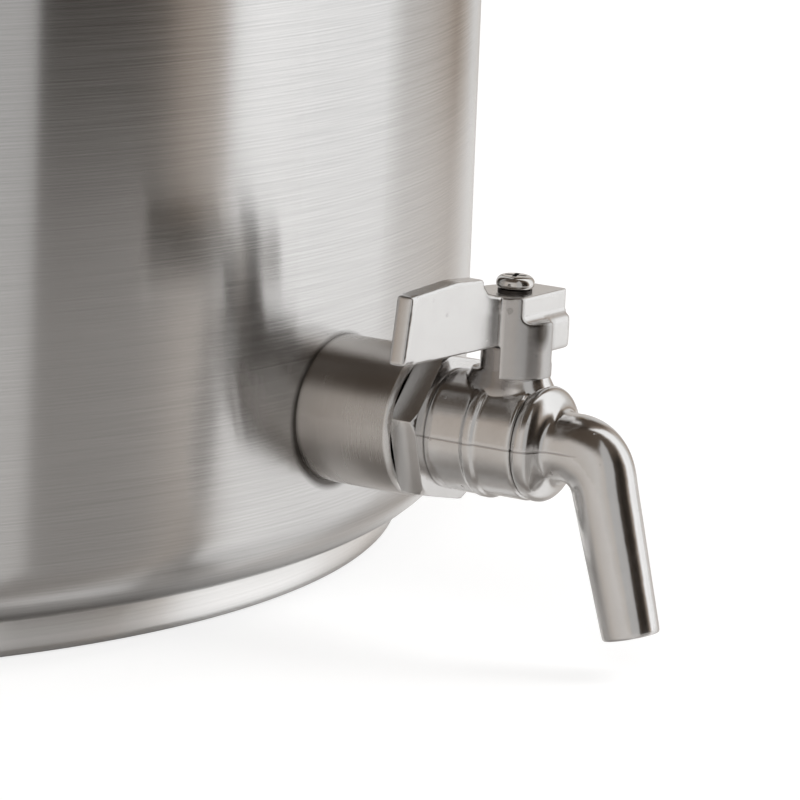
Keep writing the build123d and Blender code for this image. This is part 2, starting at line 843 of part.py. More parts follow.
# ---------------------------------------------------------------- safety valve
# Spring loaded valve upright on an elbow, with a threaded side outlet and a pull ring.
relief_out = elbow_plane.z_dir
relief_side = elbow_plane.x_dir
elbow_corner = elbow_plane.origin + relief_out * (jacket_radius + elbow_reach)
elbow_top = elbow_corner + Vector(0, 0, elbow_rise)


def valve_level(height):
    """Level plane on the safety valve's axis, a height over the elbow's mouth."""
    return Plane(origin=elbow_top + Vector(0, 0, height), x_dir=relief_out, z_dir=(0, 0, 1))


with BuildPart() as relief_elbow:
    with BuildLine() as elbow_path:
        FilletPolyline(
            elbow_plane.origin + relief_out * (jacket_inner - jacket_wall),
            elbow_corner, elbow_top, radius=elbow_bend,
        )
    with BuildSketch(Plane(origin=elbow_path.line @ 0, z_dir=elbow_path.line % 0)):
        Circle(elbow_radius)
        Circle(elbow_bore, mode=Mode.SUBTRACT)
    sweep(path=elbow_path.line)
    add(jacket_form.part, mode=Mode.SUBTRACT)
finish(relief_elbow.part, "relief_elbow")

relief_seat_level = relief_hex_height + relief_body_height - relief_chamber_depth
relief_top = relief_hex_height + relief_body_height
outlet_level = relief_top - relief_outlet_radius - relief_bonnet_wall / 2
with BuildPart() as relief_body:
    with BuildSketch(valve_level(0)):
        RegularPolygon(relief_hex / 2, 6, major_radius=False)
    extrude(amount=relief_hex_height)
    with BuildSketch(valve_level(relief_hex_height)):
        Circle(relief_body_radius)
    extrude(amount=relief_body_height)
    outlet_plane = Plane(
        origin=elbow_top + Vector(0, 0, outlet_level), x_dir=relief_side, z_dir=relief_out)
    with BuildSketch(outlet_plane):
        Circle(relief_outlet_radius)
    extrude(amount=relief_outlet_reach)
    with BuildSketch(valve_level(0)):
        Circle(elbow_bore)
    extrude(amount=relief_top, mode=Mode.SUBTRACT)
    with BuildSketch(valve_level(relief_seat_level)):
        Circle(relief_chamber)
    extrude(amount=relief_chamber_depth, mode=Mode.SUBTRACT)
    with BuildSketch(outlet_plane):
        Circle(relief_outlet_port)
    extrude(amount=relief_outlet_reach, mode=Mode.SUBTRACT)
    with BuildSketch(outlet_plane.offset(relief_body_radius)):
        Circle(relief_outlet_thread)
    extrude(amount=relief_outlet_reach - relief_body_radius, mode=Mode.SUBTRACT)
finish(relief_body.part, "relief_body")

bonnet_top = relief_top + relief_bonnet_height
with BuildPart() as relief_bonnet:
    with BuildSketch(valve_level(relief_top)):
        Circle(relief_body_radius)
    extrude(amount=relief_bonnet_height)
    fillet(relief_bonnet.faces().sort_by(Axis.Z)[-1].edges(), relief_bonnet_wall)
    with BuildSketch(valve_level(relief_top)):
        Circle(relief_chamber)
    extrude(amount=relief_bonnet_height - 2 * relief_bonnet_wall, mode=Mode.SUBTRACT)
    with BuildSketch(valve_level(relief_top)):
        Circle(relief_spindle + part_gap)
    extrude(amount=relief_bonnet_height, mode=Mode.SUBTRACT)
    window_level = relief_top + relief_bonnet_wall * 2 + relief_window_height / 2
    for turn in (45, 135):
        window_out = Vector(1, 0, 0).rotate(Axis.Z, relief_turn + turn)
        with BuildSketch(Plane(
            origin=elbow_top + Vector(0, 0, window_level),
            x_dir=Vector(0, 0, 1).cross(window_out), z_dir=window_out,
        )):
            SlotOverall(relief_window_height, relief_window, rotation=90)
        extrude(amount=relief_body_radius, both=True, mode=Mode.SUBTRACT)
finish(relief_bonnet.part, "relief_bonnet")

disc_top = relief_seat_level + part_gap + relief_disc_height
knob_bottom = bonnet_top + part_gap
with BuildPart() as relief_spindle_rod:
    with BuildSketch(valve_level(relief_seat_level + part_gap)):
        Circle(relief_chamber - 2 * part_gap)
    extrude(amount=relief_disc_height)
    with BuildSketch(valve_level(disc_top)):
        Circle(relief_spindle)
    extrude(amount=knob_bottom + relief_knob_height * 0.6 - disc_top)
finish(relief_spindle_rod.part, "relief_spindle")

with BuildPart() as relief_knob:
    with BuildSketch(valve_level(knob_bottom)):
        Circle(relief_knob_radius)
    extrude(amount=relief_knob_height)
    fillet(relief_knob.faces().sort_by(Axis.Z)[-1].edges(), relief_groove)
    with BuildSketch(valve_level(knob_bottom)):
        for groove in range(relief_groove_count):
            groove_turn = radians(360 / relief_groove_count * groove)
            with Locations((
                relief_knob_radius * cos(groove_turn), relief_knob_radius * sin(groove_turn),
            )):
                Circle(relief_groove)
    extrude(amount=relief_knob_height, mode=Mode.SUBTRACT)
    with BuildSketch(valve_level(knob_bottom)):
        Circle(relief_spindle)
    extrude(amount=relief_knob_height * 0.6, mode=Mode.SUBTRACT)
finish(relief_knob.part, "relief_knob")

spring_top = bonnet_top - 2 * relief_bonnet_wall - part_gap
spring_bottom = disc_top + part_gap
spring_height = spring_top - spring_bottom - relief_spring_wire
with BuildPart() as relief_spring:
    with BuildLine() as spring_path:
        Helix(
            pitch=spring_height / relief_spring_coils,
            height=spring_height,
            radius=relief_spring_radius,
            center=elbow_top + Vector(0, 0, spring_bottom + relief_spring_wire / 2),
        )
    with BuildSketch(Plane(origin=spring_path.line @ 0, z_dir=spring_path.line % 0)):
        Circle(relief_spring_wire / 2)
    sweep(path=spring_path.line, is_frenet=True)
finish(relief_spring.part, "relief_spring")

# ---------------------------------------------------------------- pressure gauge
# Round gauge on a short stem: case, movement, dial, needle, glass and screwed bezel.
gauge_out = gauge_plane.z_dir
gauge_back = jacket_radius + gauge_stem_reach
gauge_front = gauge_back + gauge_depth
dial_face = gauge_front - gauge_dial_depth
gauge_axis = Axis((0, 0, gauge_height), tuple(gauge_out))
gauge_inner = gauge_radius - gauge_wall


def gauge_level(distance):
    """Plane across the gauge, a distance from the pot's axis: z outwards, y up."""
    return radial_plane(gauge_turn, gauge_height, distance)


stem_tail = jacket_radius + gauge_socket_reach - gauge_nut_length
nut_start = jacket_radius + gauge_socket_reach + part_gap
with BuildPart() as gauge_stem:
    with BuildSketch(gauge_level(stem_tail)):
        Circle(gauge_socket_thread - thread_gap)
    extrude(amount=nut_start - stem_tail)
    with BuildSketch(gauge_level(nut_start)):
        RegularPolygon(gauge_nut_width / 2, 6, major_radius=False)
    extrude(amount=gauge_nut_length)
    with BuildSketch(gauge_level(nut_start + gauge_nut_length)):
        Circle(gauge_stem_radius)
    extrude(amount=gauge_back - nut_start - gauge_nut_length)
    with BuildSketch(gauge_level(stem_tail)):
        Circle(gauge_pin_radius)
    extrude(amount=gauge_back - stem_tail, mode=Mode.SUBTRACT)
finish(gauge_stem.part, "gauge_stem")

with BuildPart() as gauge_case:
    with BuildSketch(gauge_level(gauge_back)):
        Circle(gauge_radius)
    extrude(amount=gauge_depth)
    fillet(gauge_case.faces().sort_by(gauge_axis)[0].edges(), gauge_wall)
    with BuildSketch(gauge_level(gauge_back + gauge_wall)):
        Circle(gauge_inner)
    extrude(amount=gauge_depth, mode=Mode.SUBTRACT)
finish(gauge_case.part, "gauge_case")

dial_back = dial_face - gauge_dial_thickness
with BuildPart() as gauge_movement:
    with BuildSketch(gauge_level(gauge_back + gauge_wall)):
        Rectangle(gauge_inner, gauge_inner * 0.6)
    extrude(amount=dial_back - gauge_back - gauge_wall)
    with BuildSketch(gauge_level(dial_back)):
        Circle(gauge_pin_radius + stem_clearance)
    extrude(amount=-gauge_dial_depth, mode=Mode.SUBTRACT)
finish(gauge_movement.part, "gauge_movement")

with BuildPart() as gauge_dial:
    with BuildSketch(gauge_level(dial_back)):
        Circle(gauge_inner)
        Circle(gauge_pin_radius + stem_clearance, mode=Mode.SUBTRACT)
    extrude(amount=gauge_dial_thickness)
finish(gauge_dial.part, "gauge_dial")

needle_back = dial_face + gauge_needle_gap
zero_turn = radians(gauge_zero_turn)
needle_way = gauge_plane.x_dir * cos(zero_turn) + gauge_plane.y_dir * sin(zero_turn)
with BuildPart() as gauge_needle:
    with BuildSketch(Plane(
        origin=gauge_level(needle_back).origin, x_dir=needle_way, z_dir=gauge_out,
    )):
        with BuildLine():
            Polyline(
                (-gauge_needle_tail, gauge_needle_width / 2), (0, gauge_needle_width / 2),
                (gauge_needle_length, gauge_needle_width / 8),
                (gauge_needle_length, -gauge_needle_width / 8), (0, -gauge_needle_width / 2),
                (-gauge_needle_tail, -gauge_needle_width / 2),
                (-gauge_needle_tail, gauge_needle_width / 2),
            )
        make_face()
    extrude(amount=gauge_needle_thickness)
    with BuildSketch(gauge_level(needle_back)):
        Circle(gauge_needle_width)
    extrude(amount=gauge_needle_thickness * 2)
    with BuildSketch(gauge_level(dial_back - gauge_dial_depth + part_gap)):
        Circle(gauge_pin_radius)
    extrude(amount=needle_back - dial_back + gauge_dial_depth - part_gap)
finish(gauge_needle.part, "gauge_needle")

glass_back = gauge_front - gauge_glass_thickness
with BuildPart() as gauge_glass:
    with BuildSketch(gauge_level(glass_back)):
        Circle(gauge_inner)
    extrude(amount=gauge_glass_thickness)
finish(gauge_glass.part, "gauge_glass")

with BuildPart() as gauge_bezel:
    with BuildSketch(gauge_level(gauge_front - gauge_bezel_height)):
        Circle(gauge_radius + gauge_wall)
    extrude(amount=gauge_bezel_height + gauge_wall)
    fillet(gauge_bezel.faces().sort_by(gauge_axis)[-1].edges(), gauge_wall)
    with BuildSketch(gauge_level(gauge_front - gauge_bezel_height)):
        Circle(gauge_radius)
    extrude(amount=gauge_bezel_height, mode=Mode.SUBTRACT)
    with BuildSketch(gauge_level(gauge_front)):
        Circle(gauge_radius + gauge_wall - gauge_bezel_width)
    extrude(amount=gauge_wall, mode=Mode.SUBTRACT)
finish(gauge_bezel.part, "gauge_bezel")
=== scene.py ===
"""Steam jacketed kettle: the looks of a double walled pot on a capsule base, with a ball tap."""
import json
import math

import bmesh
import bpy
from mathutils import Matrix, Vector


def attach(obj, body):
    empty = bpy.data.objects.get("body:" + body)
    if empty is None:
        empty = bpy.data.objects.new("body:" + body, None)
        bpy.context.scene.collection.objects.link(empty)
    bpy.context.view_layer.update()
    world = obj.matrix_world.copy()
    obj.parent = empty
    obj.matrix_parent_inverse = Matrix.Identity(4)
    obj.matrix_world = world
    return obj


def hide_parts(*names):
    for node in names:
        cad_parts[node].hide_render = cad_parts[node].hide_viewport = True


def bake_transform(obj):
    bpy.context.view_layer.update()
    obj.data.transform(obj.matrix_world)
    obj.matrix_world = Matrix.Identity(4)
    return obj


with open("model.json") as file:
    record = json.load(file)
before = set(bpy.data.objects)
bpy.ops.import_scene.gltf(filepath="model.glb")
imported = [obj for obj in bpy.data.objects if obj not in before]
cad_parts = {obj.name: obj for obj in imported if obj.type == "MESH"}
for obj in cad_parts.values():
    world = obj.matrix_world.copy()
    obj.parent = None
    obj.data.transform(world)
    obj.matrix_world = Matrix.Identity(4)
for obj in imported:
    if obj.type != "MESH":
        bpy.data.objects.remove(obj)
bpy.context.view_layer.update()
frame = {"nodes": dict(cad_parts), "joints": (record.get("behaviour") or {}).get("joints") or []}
nodes = frame["nodes"]
mm = 0.001

# ---------------------------------------------------------------- camera
# A long lens 1.3 m from the pot's axis, low beside the tap. It looks slightly down and leans a
# little to one side.


def placed(name, data):
    """Puts data into the scene as an object."""
    made = bpy.data.objects.new(name, data)
    bpy.context.scene.collection.objects.link(made)
    return made


camera_place = (-0.9876, -0.8279, 0.3144)
camera_heading = math.radians(31.77)
camera_dip = math.radians(12.68)
camera_lean = 0.0391
camera_data = bpy.data.cameras.new("camera")
camera_data.sensor_width = 36.0
camera_data.lens = 235.66
camera_data.clip_start = 0.05
camera = placed("camera", camera_data)
camera.matrix_world = (
    Matrix.Translation(camera_place)
    @ Matrix.Rotation(camera_heading - math.pi / 2, 4, "Z")
    @ Matrix.Rotation(math.pi / 2 - camera_dip, 4, "X")
    @ Matrix.Rotation(camera_lean, 4, "Z")
)
bpy.context.scene.camera = camera

# ---------------------------------------------------------------- pot wall
# Deep drawn stainless jacket, brushed round the pot after drawing. Its rounded foot is welded
# to the capsule base, and each fitting's socket is welded into a hole in it.


class Wire:
    """A socket of a graph. Sums written with it add the Math nodes that they need."""

    def __init__(self, graph, socket):
        self.graph, self.socket = graph, socket

    def __add__(self, other):
        return self.graph.maths("ADD", self, other)

    def __sub__(self, other):
        return self.graph.maths("SUBTRACT", self, other)

    def __rsub__(self, other):
        return self.graph.maths("SUBTRACT", other, self)

    def __mul__(self, other):
        return self.graph.maths("MULTIPLY", self, other)

    def __pow__(self, other):
        return self.graph.maths("POWER", self, other)

    def __abs__(self):
        return self.graph.maths("ABSOLUTE", self)

    __radd__, __rmul__ = __add__, __mul__


class Graph:
    """The nodes of a material, or of the studio's light."""

    def __init__(self, owner):
        owner.use_nodes = True
        self.tree = owner.node_tree

    def node(self, kind, settings, *values, out=0, **named):
        """Adds a node: its settings first, then the values or links of its sockets."""
        made = self.tree.nodes.new(kind)
        for key, value in settings.items():
            setattr(made, key, value)
        sockets = list(zip(made.inputs, values))
        sockets += [(made.inputs[key.replace("_", " ")], value) for key, value in named.items()]
        for socket, value in sockets:
            if isinstance(value, Wire):
                self.tree.links.new(value.socket, socket)
            else:
                socket.default_value = value
        return Wire(self, made.outputs[out])

    def show(self, kind, shader):
        """Adds the output node that shows a shader."""
        self.tree.links.new(shader.socket, self.tree.nodes.new(kind).inputs[0])

    def maths(self, operation, *values):
        return self.node("ShaderNodeMath", {"operation": operation}, *values)

    def vectors(self, operation, *values, out=0):
        return self.node("ShaderNodeVectorMath", {"operation": operation}, *values, out=out)

    def span(self, value, low, high, to_low=0.0, to_high=1.0):
        """value between low and high, carried over to between to_low and to_high."""
        return self.node("ShaderNodeMapRange", {}, value, low, high, to_low, to_high)

    def blend(self, share, first, second):
        """Colour that goes from first to second as share goes from 0 to 1."""
        return self.node("ShaderNodeMixRGB", {}, share, first, second)


class Finish(Graph):
    """A node material round one Principled shader."""

    def __init__(self, name, **constants):
        self.material = bpy.data.materials.new(name)
        super().__init__(self.material)
        self.shader = self.tree.nodes["Principled BSDF"]
        self.place = self.node("ShaderNodeTexCoord", {}, out="Object")
        for socket, value in constants.items():
            self.shader.inputs[socket.replace("_", " ")].default_value = value

    def stretched(self, along_x, along_y, along_z):
        """Object coordinates in metres, times a number along each axis."""
        return self.vectors("MULTIPLY", self.place, (along_x, along_y, along_z))

    def noise(self, where, detail=3.0, roughness=0.6):
        return self.node(
            "ShaderNodeTexNoise", {}, Vector=where, Scale=1.0, Detail=detail, Roughness=roughness
        )

    def feed(self, socket, wire):
        self.tree.links.new(wire.socket, self.shader.inputs[socket])

    def bumped(self, height, depth):
        """Relief whose height of 1 stands depth metres proud."""
        self.feed("Normal", self.node(
            "ShaderNodeBump", {}, Height=height, Distance=depth, Strength=1.0, out="Normal"
        ))

    def step_from(self, origin):
        """Way from origin to each point, in metres."""
        return self.vectors("SUBTRACT", self.place, tuple(origin))

    def height_over(self, origin, way):
        """Distance of each point along a direction, from a plane through origin."""
        return self.vectors("DOT_PRODUCT", self.step_from(origin), tuple(way), out="Value")


def rounded(*corners, steps=5):
    """Outline through corners (across, up[, radius]) in millimetres, each radius made an arc."""
    outline = []
    for number, corner in enumerate(corners):
        if len(corner) == 2:
            outline.append(corner)
            continue
        here = Vector(corner[:2])
        before = (Vector(corners[number - 1][:2]) - here).normalized()
        after = (Vector(corners[(number + 1) % len(corners)][:2]) - here).normalized()
        half = before.angle(after) / 2
        centre = here + (before + after).normalized() * corner[2] / math.sin(half)
        start = here + before * corner[2] / math.tan(half) - centre
        sweep = start.angle_signed(here + after * corner[2] / math.tan(half) - centre)
        for step in range(steps + 1):
            turn = Matrix.Rotation(-sweep * step / steps, 2)
            outline.append(tuple(centre + turn @ start))
    return outline


def turned(outline, steps=128):
    """Closed outline of (radius, height) in millimetres, spun about Z."""
    shape = bmesh.new()
    points = [shape.verts.new((across * mm, 0, up * mm)) for across, up in outline]
    edges = [shape.edges.new(pair) for pair in zip(points, points[1:] + points[:1])]
    bmesh.ops.spin(
        shape, geom=points + edges, axis=(0, 0, 1), cent=(0, 0, 0), angle=2 * math.pi,
        steps=steps, use_merge=True,
    )
    bmesh.ops.remove_doubles(shape, verts=shape.verts, dist=1e-6)
    bmesh.ops.recalc_face_normals(shape, faces=shape.faces)
    return shape


def meshed(name, shape, place=Matrix()):
    """Moves a shape to its place and makes it a mesh."""
    mesh = bpy.data.meshes.new(name)
    shape.transform(place)
    shape.to_mesh(mesh)
    shape.free()
    return mesh


def shown(name, shape, finish, body="kettle", stands_for=(), place=Matrix(), sharp=32):
    """Makes the shape a piece of the object, smooth up to a sharp angle, on its body if any."""
    mesh = meshed(name, shape, place)
    mesh.shade_smooth()
    mesh.set_sharp_from_angle(angle=math.radians(sharp))
    mesh.materials.append(finish.material)
    piece = placed(name, mesh)
    if body:
        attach(piece, body)
    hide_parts(*stands_for)
    return piece


def cut(shape, cutter):
    """The shape less the cutter, both in the same place."""
    block, tool = [placed("cut", meshed("cut", form)) for form in (shape, cutter)]
    knife = block.modifiers.new("cut", "BOOLEAN")
    knife.object, knife.operation, knife.solver = tool, "DIFFERENCE", "EXACT"
    left = bmesh.new()
    left.from_object(block, bpy.context.evaluated_depsgraph_get())
    for form in (block, tool):
        bpy.data.objects.remove(form)
    return left


def rod(radius, start, end):
    """Plain round bar between two points in millimetres."""
    shape = bmesh.new()
    start, end = Vector(start) * mm, Vector(end) * mm
    bmesh.ops.create_cone(
        shape, cap_ends=True, segments=96, radius1=radius * mm, radius2=radius * mm,
        depth=(end - start).length,
        matrix=Matrix.Translation((start + end) / 2)
        @ (end - start).to_track_quat("Z", "Y").to_matrix().to_4x4(),
    )
    return shape


def round_the_pot(turn, height, reach):
    """Point in millimetres outside the pot's axis, at a turn from +X and a height."""
    return (reach * math.cos(math.radians(turn)), reach * math.sin(math.radians(turn)), height)


satin_jacket = Finish("satin_jacket", Metallic=1.0, Anisotropic=0.97, Anisotropic_Rotation=0.25)
groove_rate, groove_sway = 7600, 12
sway = satin_jacket.noise(satin_jacket.stretched(5, 5, 60), 2, 0.5)
up_the_wall = satin_jacket.height_over((0, 0, 0), (0, 0, 1))
grooves = satin_jacket.maths("SINE", up_the_wall * groove_rate + sway * groove_sway)
hairs = satin_jacket.noise(satin_jacket.stretched(34, 34, 3300), 1, 0.5)
clouds = satin_jacket.noise(satin_jacket.stretched(11, 11, 7), 2, 0.5)
scratch = grooves * 0.12 + satin_jacket.span(hairs, 0.3, 0.7) * 0.55 + 0.22
steel = satin_jacket.blend(scratch, (0.578, 0.574, 0.57, 1), (0.728, 0.723, 0.718, 1))

# A dark ring painted round the outlet sleeve's root is partly the heat tint of the weld and
# partly painted shade in the crease where the sleeve meets the wall. The foot is painted darker
# where it
# curves in to the base: painted shade for the shadowed floor beside the pot that it mirrors.
sleeve_root = (-0.0006, -0.1996, 0.0483)
from_sleeve = satin_jacket.vectors("LENGTH", satin_jacket.step_from(sleeve_root), out="Value")
scorch_and_shade = satin_jacket.span(from_sleeve, 0.0171, 0.0188, 0.9, 0)
painted_foot_shade = satin_jacket.span(up_the_wall, 0.012, 0.024, 0.55, 0)
satin_jacket.feed("Base Color", satin_jacket.blend(
    scorch_and_shade + painted_foot_shade, steel, (0.05, 0.042, 0.035, 1)
))
satin_jacket.feed("Roughness", scratch * 0.04 + clouds * 0.03 + 0.14)
satin_jacket.bumped(scratch, 0.000003)

jacket_radius, jacket_corner, jacket_foot, pot_top = 200, 16, 9.2, 320
sheet = 1.5
round_steps = 320
jacket_inside, jacket_floor = jacket_radius - sheet, jacket_foot + sheet
wall = turned(rounded(
    (0, jacket_foot), (jacket_radius, jacket_foot, jacket_corner), (jacket_radius, pot_top),
    (jacket_inside, pot_top), (jacket_inside, jacket_floor, jacket_corner - sheet),
    (0, jacket_floor), steps=10
), steps=round_steps)
sleeve_hole, sleeve_turn, sleeve_height = 17.02, 270, 48.9
holes = {
    "outlet": (sleeve_hole, sleeve_turn, sleeve_height),
    "steam": (9.0, 125, 236),
    "condensate": (9.0, 90, 42),
    "safety valve": (6.5, 52, 214),
    "gauge": (6.25, 315, 238),
}
cut_depth = 15
for radius, turn, height in holes.values():
    wall = cut(wall, rod(
        radius, round_the_pot(turn, height, jacket_radius - cut_depth),
        round_the_pot(turn, height, jacket_radius + cut_depth)
    ))
shown("pot_wall", wall, satin_jacket, stands_for=["outer_jacket"])

# ---------------------------------------------------------------- capsule base
# Stainless pan pressed round an aluminium disc that spreads the heat. The pan's side is turned
# bright in a lathe, and its rounded top edge meets the pot's foot.
turned_base = Finish("turned_base", Metallic=1.0, Anisotropic=0.7, Anisotropic_Rotation=0.25)
fine = turned_base.noise(turned_base.stretched(7, 7, 2600), 2, 0.5)
patch = turned_base.noise(turned_base.stretched(14, 14, 14), 2, 0.5)
turned_base.feed("Base Color", turned_base.blend(
    turned_base.span(fine, 0.3, 0.7), (0.76, 0.755, 0.75, 1), (0.83, 0.825, 0.82, 1)
))
turned_base.feed("Roughness", fine * 0.06 + patch * 0.06 + 0.18)
turned_base.bumped(fine, 0.000004)
pan_radius, pan_sheet, pan_corner, pan_edge = 184.1, 1.0, 2.2, 0.45
pan_inside = pan_radius - pan_sheet
shown("base_pan", turned(rounded(
    (0, 0), (pan_radius, 0, pan_corner), (pan_radius, jacket_foot, pan_edge),
    (pan_inside, jacket_foot, pan_edge), (pan_inside, pan_sheet), (0, pan_sheet)
), steps=round_steps), turned_base, stands_for=["base_cap"])

disc_metal = Finish("disc_aluminium", Metallic=1.0)
rolled = disc_metal.noise(disc_metal.stretched(900, 60, 900))
disc_metal.feed("Base Color", disc_metal.blend(
    rolled, (0.70, 0.70, 0.72, 1), (0.82, 0.82, 0.83, 1)
))
disc_metal.feed("Roughness", rolled * 0.2 + 0.3)


def dress(finish, slot, *names):
    """Gives CAD pieces that are shown as they are their finish."""
    for name in names:
        nodes[name].data.materials.clear()
        nodes[name].data.materials.append(finish.material)


dress(disc_metal, "core_aluminium", "base_core")

# ---------------------------------------------------------------- inner vessel
# Deep drawn stainless bowl that holds the food, brushed inside round its axis. It is welded
# to the rim at its top, and the outlet sleeve is welded into a hole low in its wall.
satin_vessel = Finish("satin_vessel", Metallic=1.0, Anisotropic=0.6, Anisotropic_Rotation=0.25)
brushing = satin_vessel.noise(satin_vessel.stretched(26, 26, 1800), 3, 0.6)
wipe = satin_vessel.noise(satin_vessel.stretched(9, 9, 9), 2, 0.5)
satin_vessel.feed("Base Color", satin_vessel.blend(
    satin_vessel.span(brushing, 0.3, 0.7), (0.62, 0.61, 0.59, 1), (0.74, 0.73, 0.71, 1)
))
satin_vessel.feed("Roughness", brushing * 0.08 + wipe * 0.08 + 0.24)
satin_vessel.bumped(brushing, 0.00001)
vessel_radius, vessel_corner, vessel_foot = 178, 12, 37.7
vessel_inside, vessel_floor = vessel_radius - sheet, vessel_foot + sheet
bowl = turned(rounded(
    (0, vessel_foot), (vessel_radius, vessel_foot, vessel_corner), (vessel_radius, pot_top),
    (vessel_inside, pot_top), (vessel_inside, vessel_floor, vessel_corner - sheet),
    (0, vessel_floor), steps=8
), steps=256)
bowl = cut(bowl, rod(
    sleeve_hole, round_the_pot(sleeve_turn, sleeve_height, 165),
    round_the_pot(sleeve_turn, sleeve_height, 190)
))
shown("vessel_bowl", bowl, satin_vessel, stands_for=["inner_vessel"])

# ---------------------------------------------------------------- rim
# Stainless ring turned in a lathe and polished bright. It is welded over both walls, closes
# the steam space and laps down over the jacket.
polished = Finish("polished_steel", Metallic=1.0)
haze = polished.noise(polished.stretched(45, 45, 45), 3, 0.55)
lines = polished.noise(polished.stretched(500, 500, 2500), 2, 0.5)
polished.feed("Base Color", polished.blend(
    haze, (0.66, 0.65, 0.635, 1), (0.73, 0.72, 0.705, 1)
))
polished.feed("Roughness", haze * 0.1 + lines * 0.05 + 0.06)
polished.bumped(lines, 0.000003)
rim_radius, rim_top, rim_skirt = 203, 325, 308
shown("rim_band", turned(rounded(
    (vessel_inside, pot_top), (vessel_inside, rim_top, 0.96), (rim_radius, rim_top, 2.4),
    (rim_radius, rim_skirt, 1.2), (jacket_radius, rim_skirt), (jacket_radius, pot_top)
), steps=round_steps), polished, stands_for=["rim_ring"])

# ---------------------------------------------------------------- side handles
# Bent stainless bars, polished. Their ends are welded to curved pads, which are welded to the
# jacket under the rim, one pair on each side.
dress(polished, "polished_steel", "left_handle", "right_handle", "left_handle_pads",
      "right_handle_pads")

# ---------------------------------------------------------------- lid
# Spun stainless dome, brushed like the vessel, with a flat lap that rests on the rim. Its
# polished grip is a bent bar on two welded feet.
dress(satin_vessel, "vessel_steel", "lid_shell")
dress(polished, "polished_steel", "lid_grip_feet", "lid_grip")

# ---------------------------------------------------------------- outlet sleeve
# Thick stainless tube, turned in a lathe and welded into both walls. Its mouth is bevelled
# bright and threaded inside for the tap.
tap_turn = next(joint for joint in frame["joints"] if joint["name"] == "tap_turn")
stem_up = Vector(tap_turn["axis"]).normalized()
into_pot = Vector((0, 1, 0))
tap_frame = Matrix.Translation(tap_turn["pos_m"]) @ Matrix(
    (into_pot.cross(stem_up), into_pot, stem_up)
).transposed().to_4x4()
along_tap = Matrix.Rotation(math.pi / 2, 4, "X")

turned_pipe = Finish("turned_pipe", Metallic=1.0)
rings = turned_pipe.noise(turned_pipe.stretched(20, 2600, 20), 2, 0.5)
stain = turned_pipe.noise(turned_pipe.stretched(50, 50, 50), 2, 0.5)
inwards = turned_pipe.height_over(tap_frame.translation, into_pot)
bevel = turned_pipe.span(inwards, 0.0221, 0.0224, 1, 0)
turned_pipe.feed("Base Color", turned_pipe.blend(bevel, turned_pipe.blend(
    turned_pipe.span(rings * 0.15 + stain * 0.85, 0.3, 0.7), (0.42, 0.398, 0.378, 1),
    (0.54, 0.52, 0.5, 1)
), (0.74, 0.73, 0.72, 1)))
turned_pipe.feed("Roughness", rings * 0.02 + stain * 0.06 + 0.23)
turned_pipe.bumped(rings, 0.0000004)

sleeve_radius, sleeve_bore, sleeve_end = 17, 8, -67.5
thread_pitch, thread_turns = 1.8, 9
thread_crest, first_crest = 12.1, -38.2
thread_root, first_root = 12.85, -37.4
thread = []
for ridge in range(thread_turns):
    thread += [
        (thread_crest, first_crest + ridge * thread_pitch),
        (thread_root, first_root + ridge * thread_pitch),
    ]
sleeve_mouth = [(sleeve_radius, -22.3), (16.85, -22.0), (15.95, -21.1), (15.7, -21)]
shown("outlet_pipe", turned(
    [(sleeve_bore, -39), (sleeve_bore, sleeve_end), (sleeve_radius, sleeve_end)]
    + sleeve_mouth + thread[::-1]
), turned_pipe, stands_for=["outlet_sleeve"], place=tap_frame @ along_tap)

# ---------------------------------------------------------------- gasket
# Soft black rubber washer. The adaptor squeezes it between the sleeve's mouth and the hexagon,
# and it seals the thread.
rubber = Finish("black_rubber")
grain = rubber.noise(rubber.stretched(1500, 1500, 1500))
rubber.feed("Base Color", rubber.blend(grain, (0.03, 0.027, 0.025, 1), (0.06, 0.055, 0.05, 1)))
rubber.feed("Roughness", grain * 0.2 + 0.55)
dress(rubber, "gasket_rubber", "tap_gasket")

# ---------------------------------------------------------------- hexagon adaptor
# Stainless nipple turned from hexagon bar. One end screws into the sleeve, and the other
# closes the valve body.


def merged_copy(node):
    """Copy of a CAD piece's mesh, with the corners of its loose triangles merged."""
    shape = bmesh.new()
    shape.from_mesh(nodes[node].data)
    bmesh.ops.remove_doubles(shape, verts=shape.verts, dist=2e-6)
    return shape


def eased(node, width):
    """Copy of a CAD piece with its sharp edges eased by width in millimetres."""
    flat, sharp = math.radians(0.8), math.radians(28)
    shape = merged_copy(node)
    bmesh.ops.dissolve_limit(shape, angle_limit=flat, verts=shape.verts, edges=shape.edges)
    corners = [
        edge for edge in shape.edges
        if len(edge.link_faces) == 2 and edge.calc_face_angle() > sharp
    ]
    bmesh.ops.bevel(
        shape, geom=corners, offset=width * mm, segments=2, profile=0.5,
        affect="EDGES", material=-1, clamp_overlap=True,
    )
    return shape


milled = Finish("milled_hexagon", Metallic=1.0)
mill = milled.noise(milled.stretched(90, 90, 90), 3, 0.5)
rub = milled.noise(milled.stretched(900, 900, 900), 2, 0.5)
milled.feed("Base Color", milled.blend(mill, (0.62, 0.61, 0.6, 1), (0.74, 0.735, 0.73, 1)))
milled.feed("Roughness", mill * 0.1 + rub * 0.05 + 0.08)
milled.bumped(mill * 0.8 + rub * 0.06, 0.00008)
shown("hexagon_nipple", eased("tap_adaptor", 0.25), milled,
      stands_for=["tap_adaptor"])

# ---------------------------------------------------------------- tap body
# Investment cast in stainless steel and tumbled. A band runs round it, a faint parting line
# runs along each side, and a neck with rounded roots holds the stem.


